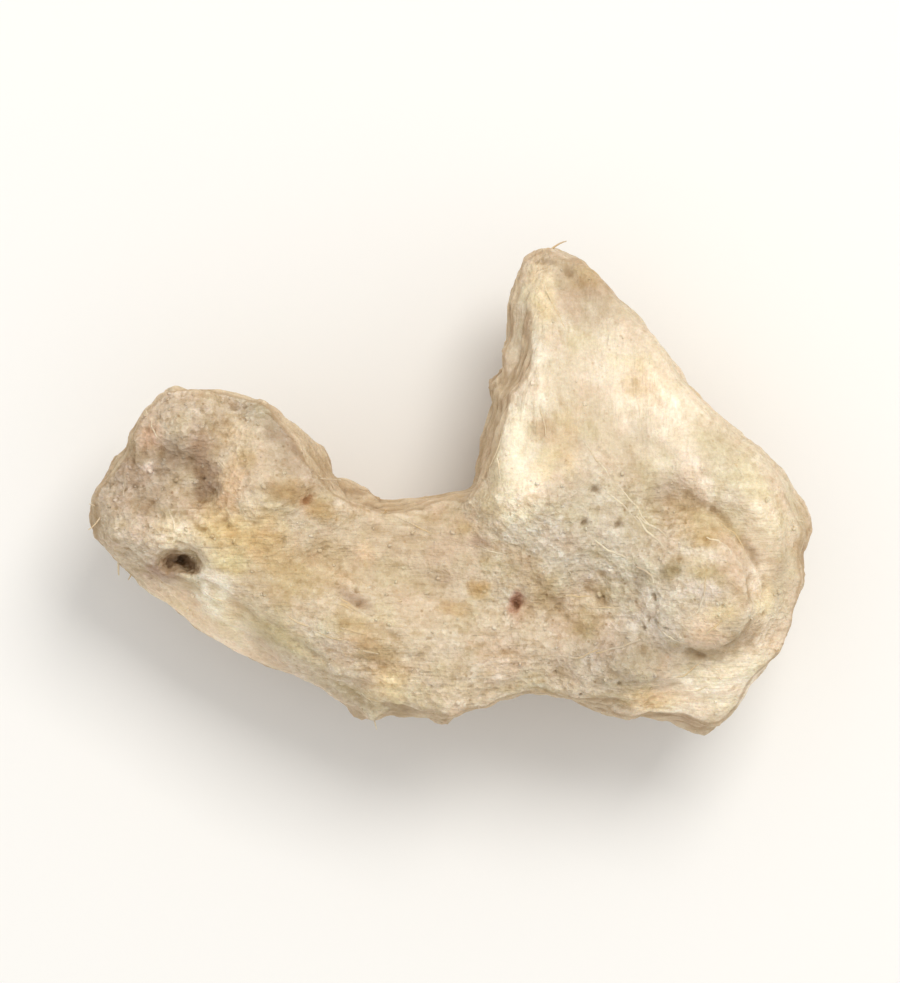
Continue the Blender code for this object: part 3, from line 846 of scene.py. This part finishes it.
def lying_fibre(surface, start, grain, dice):
    """Places and radii of a fibre that is half sunk in the cut face. One in eight lifts off it."""
    steps = dice.randint(5, 15)
    radius = dice.uniform(*LYING_RADII)
    lifts = [-0.35 * radius] * steps
    if dice.random() < 0.12:
        end = dice.uniform(0.1, 0.4)
        lifts = [lift + end * max(0, k / steps - 0.5) ** 2 * 4 for k, lift in enumerate(lifts)]
    heading = Vector(grain) * dice.choice((-1, 1))
    path = creep(surface, start, heading, lifts, dice)
    return path, [radius * taper(k, steps) for k in range(steps)]


def rim_fibre(start, direction, grain, dice):
    """Places and radii of a fibre that stands out at the rim, and thins towards its end."""
    steps = dice.randint(3, 7)
    radius = dice.uniform(*RIM_RADII)
    out, along = Vector(direction), Vector(grain)
    if along.dot(out) < 0:
        along.negate()
    heading = (out * 0.7 + along * dice.uniform(0.3, 1.2)).normalized()
    path = spring(Vector(start) - out * 0.06, heading, steps, dice)
    return path, [radius * taper(k + steps, 2 * steps) for k in range(steps)]


def strands_piece(name, fibres):
    """Thin round strands, each a path and its radii, as one mesh."""
    strands = bpy.data.curves.new(name, "CURVE")
    strands.dimensions, strands.use_fill_caps = "3D", True
    strands.bevel_depth, strands.bevel_resolution = 1.0, 1
    for path, radii in fibres:
        spline = strands.splines.new("POLY")
        spline.points.add(len(path) - 1)
        for point, place, radius in zip(spline.points, path, radii):
            point.co, point.radius = (*place, 1.0), radius
    piece = bpy.data.objects.new(name, strands)
    bpy.context.scene.collection.objects.link(piece)
    select_only(piece)
    bpy.ops.object.convert(target="MESH")
    return bpy.context.object


def fibres_on(chunk):
    """Fibres of the root: most lie on the cut face along the grain, and a few stick out at its
    rim."""
    surface = BVHTree.FromObject(chunk, bpy.context.evaluated_depsgraph_get())
    points, directions = coordinates(chunk), normals(chunk)
    cut, rough = read_attribute(chunk, "cut"), read_attribute(chunk, "roughness")
    high = points[:, 2] > FACE_HEIGHT
    face = cut * high * ramp(directions[:, 2], 0.3, 0.6)
    on_face = face * ramp(read_attribute(chunk, "streaks"), 0.2, 0.9) * (0.25 + rough)
    on_rim = ramp(4 * cut * (1 - cut), 0.5, 0.9) * high * (0.2 + rough**2)
    grain = grain_at(points, directions)
    dice = random.Random(41)
    fibres = []
    for start in dice.choices(range(len(points)), on_face, k=LYING_FIBRES):
        fibres.append(lying_fibre(surface, points[start], grain[start], dice))
    for start in dice.choices(range(len(points)), on_rim, k=RIM_FIBRES):
        fibres.append(rim_fibre(points[start], directions[start], grain[start], dice))
    return strands_piece("frayed_fibres", [fibre for fibre in fibres if inside_box(fibre[0])])


def crumbs_on(chunk):
    """Crumbs of dried starch, half sunk in the cut face."""
    points, directions = coordinates(chunk), normals(chunk)
    cut, rough = read_attribute(chunk, "cut"), read_attribute(chunk, "roughness")
    face = cut * (points[:, 2] > FACE_HEIGHT) * ramp(directions[:, 2], 0.2, 0.5)
    bpy.ops.object.select_all(action="DESELECT")
    bpy.ops.mesh.primitive_cube_add(size=1.6)
    first = bpy.context.object
    first.name = "starch_crumbs"
    finish_with(first, "SUBSURF", levels=1, render_levels=1)
    dice = random.Random(43)
    smallest, largest = CRUMB_RADII
    copies = []
    for start in dice.choices(range(len(points)), face * (0.1 + rough**1.5), k=CRUMBS):
        radius = smallest + (largest - smallest) * dice.random() ** 3
        size = [radius * dice.uniform(0.7, 1.3) for _ in range(3)]
        turn = Euler([dice.uniform(0, math.tau) for _ in range(3)])
        place = Vector(points[start]) + Vector(directions[start]) * radius * dice.uniform(-0.5, 0.2)
        crumb = first.copy()
        crumb.data = first.data.copy()
        bpy.context.scene.collection.objects.link(crumb)
        for corner in crumb.data.vertices:
            corner.co *= 1 + CRUMB_LUMPS * noise.noise(corner.co * 1.7 + place * 9)
        crumb.data.transform(Matrix.LocRotScale(place, turn, size))
        copies.append(crumb)
    bpy.data.objects.remove(first)
    select_only(*copies)
    bpy.ops.object.join()
    crumbs = bpy.context.object
    crumbs.name = "starch_crumbs"
    return crumbs


def take_looks(piece, chunk):
    """Gives each corner of a piece the looks of the chunk's surface nearest to it."""
    chunk_places = coordinates(chunk)
    tree = KDTree(len(chunk_places))
    for index, place in enumerate(chunk_places.tolist()):
        tree.insert(place, index)
    tree.balance()
    nearest = np.array([tree.find(place)[1] for place in coordinates(piece).tolist()])
    for name in KEPT_LOOKS:
        keep_attribute(piece, name, read_attribute(chunk, name)[nearest])
    keep_attribute(piece, "fine_relief", np.zeros(len(nearest)))
    tint = read_colour(chunk, "tint")[nearest]
    keep_colour(piece, "tint", tint + PALER * (np.array(linear(PALE_MEAL)) - tint))


def grain_threads(finish):
    """Fine threads along the grain, which runs one way in the stub and another in the branch."""
    in_branch = finish.attribute("in_branch")
    along_stub = finish.placed(STUB_TURN, (THREAD_STRETCH, 1.0, 1.0))
    along_branch = finish.placed(BRANCH_TURN, (1.0, THREAD_STRETCH, 1.0))
    stub_threads = finish.noise(along_stub, THREADS, 2.0, 0.6)
    branch_threads = finish.noise(along_branch, THREADS, 2.0, 0.6)
    return stub_threads * (1 - in_branch) + branch_threads * in_branch


def root_patterns(finish):
    """The patterns that the finishes of the cut face and of the skin share."""
    place = finish.placed()
    fine, broad = finish.attribute("fine_relief"), finish.attribute("broad_relief")
    return SimpleNamespace(
        place=place,
        broad=broad,
        mealy=finish.attribute("roughness").between(0.1, 1.3),
        blotches=finish.noise(place, BLOTCHES, 4.0, 0.6),
        mottle=finish.noise(place, MOTTLE, 3.0, 0.6),
        grit=finish.noise(place, GRIT, 3.0, 0.7),
        pinker=finish.noise(finish.placed(40), 0.9, 3.0, 0.55),
        threads=grain_threads(finish),
        grain_away=finish.cells(place, GRAINS),
        # Hollows and crests of the relief, used for painted shade in the hollows and a painted
        # highlight on the crests.
        crevice=(broad * -1).between(0.01, 0.13),
        crease=(fine * -1).between(0.0, 0.035),
        crest=fine.between(0.0, 0.03),
    )


def oil_cells(finish, grains, grain_away):
    """Small spots in one of twenty grains."""
    return (1 - grain_away.between(0.16, 0.42)) * finish.channel(grains, 1).between(0.95, 0.96)


def pores(finish):
    """Small dark dots in one of five cells that are wider than the grains."""
    place = finish.placed(25)
    picked = finish.channel(finish.cells(place, PORES, "Color"), 2).between(0.80, 0.82)
    return (1 - finish.cells(place, PORES).between(0.08, 0.26)) * picked


def face_colour(finish, seen):
    """The cut face: pale meal over tan tissue, with oil cells, pores and threads along the grain, a
    painted highlight on the crests of its relief and painted shade in its creases and crevices.
    """
    streaks, stringy = finish.attribute("streaks"), finish.attribute("stringy")
    grains = finish.cells(seen.place, GRAINS, "Color")
    grain_tone = finish.channel(grains, 0)
    face = finish.tones(finish.attribute("tint", "Color"), (
        (seen.mealy, (1.10, 1.11, 1.14)),
        (seen.pinker.between(0.50, 0.64), (1.02, 0.98, 0.985)),
        (seen.pinker.between(0.48, 0.36), (0.97, 0.98, 0.925)),
        (seen.blotches.between(0.52, 0.66), (0.90, 0.87, 0.80)),
        (seen.blotches.between(0.47, 0.36), (1.07, 1.10, 1.14)),
        (seen.mottle.between(0.52, 0.66) * seen.mealy, (0.90, 0.87, 0.83)),
        (seen.mottle.between(0.47, 0.36) * seen.mealy, (1.07, 1.09, 1.13)),
        (streaks.between(0.1, 0.9) * stringy, (1.07, 1.09, 1.11)),
        ((streaks * -1).between(0.1, 0.9) * stringy, (0.91, 0.88, 0.82)),
        (seen.threads.between(0.54, 0.66) * stringy, (0.86, 0.81, 0.73)),
        (seen.threads.between(0.46, 0.33) * stringy, (1.12, 1.15, 1.19)),
        (grain_tone.between(0.55, 1.0) * seen.mealy, (1.10, 1.13, 1.17)),
        (grain_tone.between(0.35, 0.0) * seen.mealy, (0.86, 0.83, 0.79)),
    ))  # fmt: skip
    face = finish.layers(face, ((oil_cells(finish, grains, seen.grain_away) * 0.3, (178, 132, 82)),))
    return finish.tones(face, (
        (pores(finish) * seen.mealy, (0.66, 0.58, 0.50)),
        # Painted highlight on the crests, painted shade in the creases and deeper painted shade in
        # the crevices.
        (seen.crest, (1.08, 1.10, 1.13)),
        (seen.crease, (0.84, 0.79, 0.72)),
        (seen.crevice, (0.60, 0.53, 0.43)),
    ))  # fmt: skip


def skin_colour(finish, seen):
    """The skin: thin tan cork, drawn into fine wrinkles and rubbed pale in patches on raised parts,
    with a painted highlight on its crests and painted shade in its folds and crevices."""
    wrinkles, hairs = finish.attribute("wrinkles"), finish.attribute("hairs")
    worn = seen.mottle.between(0.54, 0.64) * seen.broad.between(-0.01, 0.06)
    return finish.layers(linear((216, 196, 166)), (
        (seen.blotches.between(0.36, 0.64), (193, 168, 134)),
        (seen.pinker.between(0.5, 0.68) * 0.4, (208, 176, 148)),
        ((wrinkles * -1).between(0.2, 1.2) * 0.22, (170, 140, 106)),
        (wrinkles.between(0.2, 1.2) * 0.22, (226, 208, 178)),
        ((hairs * -1).between(0.1, 1.0) * 0.45, (158, 126, 92)),
        (hairs.between(0.2, 1.1) * 0.35, (228, 210, 180)),
        (finish.attribute("scabs") * 0.40, (168, 134, 102)),
        (worn * 0.6, (236, 220, 192)),
        # Painted highlight on the crests, painted shade in the creases and deeper painted shade in
        # the crevices.
        (seen.crest * 0.40, (232, 214, 186)),
        (seen.crease * 0.60, (134, 104, 74)),
        (seen.crevice * 0.5, (116, 88, 60)),
        (seen.grit.between(0.55, 0.72) * 0.3, (156, 126, 92)),
    ))  # fmt: skip


def root_finish():
    finish = Finish("dried_ginger")
    seen = root_patterns(finish)
    cut, mealy, grit = finish.attribute("cut"), seen.mealy, seen.grit
    colour = finish.blend(cut, skin_colour(finish, seen), face_colour(finish, seen))
    rim, dust = cut * (1 - cut) * 4, grit.between(0.62, 0.4)
    colour = finish.layers(colour, ((rim * 0.4, (158, 128, 92)), (dust * 0.15, (150, 124, 92))))
    height = grit * (0.25 + 0.35 * mealy) + seen.grain_away * mealy * 0.7
    height = height + seen.mottle * mealy * 0.6 + seen.threads * 0.9
    finish.surface({
        "Base Color": colour,
        "Roughness": 0.80 + grit * 0.22 - (1 - cut) * 0.12,
        "Normal": finish.bump(height, 0.00010, 0.8),
        "Specular IOR Level": 0.25,
        "Subsurface Weight": 0.15,
        "Subsurface Radius": (1.0, 0.6, 0.3),
        "Subsurface Scale": 0.0003,
    })  # fmt: skip
    return finish.material


def fibre_finish():
    finish = Finish("dried_fibre")
    place = finish.placed()
    tone = finish.noise(place, 0.9, 2.0, 0.5)
    grit = finish.noise(place, 14.0, 2.0, 0.6)
    colour = finish.layers(finish.attribute("tint", "Color"), (
        (tone.between(0.45, 0.62) * 0.6, (214, 184, 134)),
        (tone.between(0.44, 0.34) * 0.6, (244, 230, 200)),
        (grit.between(0.55, 0.7) * 0.4, (178, 146, 102)),
    ))  # fmt: skip
    finish.surface({
        "Base Color": colour,
        "Roughness": 0.55 + grit * 0.2,
        "Normal": finish.bump(grit, 0.00002, 0.6),
        "Specular IOR Level": 0.3,
        "Subsurface Weight": 0.2,
        "Subsurface Radius": (1.0, 0.7, 0.4),
        "Subsurface Scale": 0.0001,
    })  # fmt: skip
    return finish.material


def show(piece, material):
    """Gives a piece its material, and puts it in the frame."""
    piece.data.materials.clear()
    piece.data.materials.append(material)
    select_only(piece)
    bpy.ops.object.shade_smooth()
    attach(piece, "root")


def studio_floor():
    bpy.ops.mesh.primitive_plane_add(size=FLOOR_SIZE, location=(0, 0, 0))
    floor = bpy.context.object
    floor.name = "floor"
    plain = Finish("floor_paper")
    plain.surface({"Base Color": (0.86, 0.855, 0.84, 1), "Roughness": 0.9})
    floor.data.materials.append(plain.material)


def studio_light():
    """An even pale light from all round, and a large soft lamp at the upper right."""
    world = bpy.data.worlds.new("studio")
    world.use_nodes = True
    around = world.node_tree.nodes["Background"]
    around.inputs["Color"].default_value = (1.0, 0.985, 0.96, 1)
    around.inputs["Strength"].default_value = LIGHT_AROUND
    bpy.context.scene.world = world

    lamp = bpy.data.lights.new("softbox", "AREA")
    lamp.shape, lamp.size, lamp.size_y = "RECTANGLE", LAMP_SIZE, LAMP_SIZE
    lamp.energy, lamp.color = LAMP_POWER, (1.0, 0.97, 0.92)
    softbox = bpy.data.objects.new("softbox", lamp)
    softbox.location = LAMP_PLACE
    softbox.rotation_euler = (-softbox.location).to_track_quat("-Z", "Y").to_euler()
    bpy.context.scene.collection.objects.link(softbox)


def studio_camera():
    """A camera straight above the chunk, as in the photograph."""
    lens = bpy.data.cameras.new("camera")
    lens.lens, lens.sensor_width = LENS, 36
    lens.clip_start, lens.clip_end = 0.01, 5
    camera = bpy.data.objects.new("camera", lens)
    camera.location = (0, 0, CAMERA_HEIGHT)
    bpy.context.scene.collection.objects.link(camera)
    bpy.context.scene.camera = camera
    bpy.context.scene.view_settings.view_transform = "Standard"


chunk = chunk_from_solid()
shape_edge_and_holes(chunk)
carve_chunk(chunk)
tint_chunk(chunk)
root_material = root_finish()
fibres = fibres_on(chunk)
take_looks(fibres, chunk)
crumbs = crumbs_on(chunk)
take_looks(crumbs, chunk)
for piece, material in ((chunk, root_material), (fibres, fibre_finish()), (crumbs, root_material)):
    to_metres(piece)
    show(piece, material)
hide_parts("ginger_root")
studio_floor()
studio_light()
studio_camera()
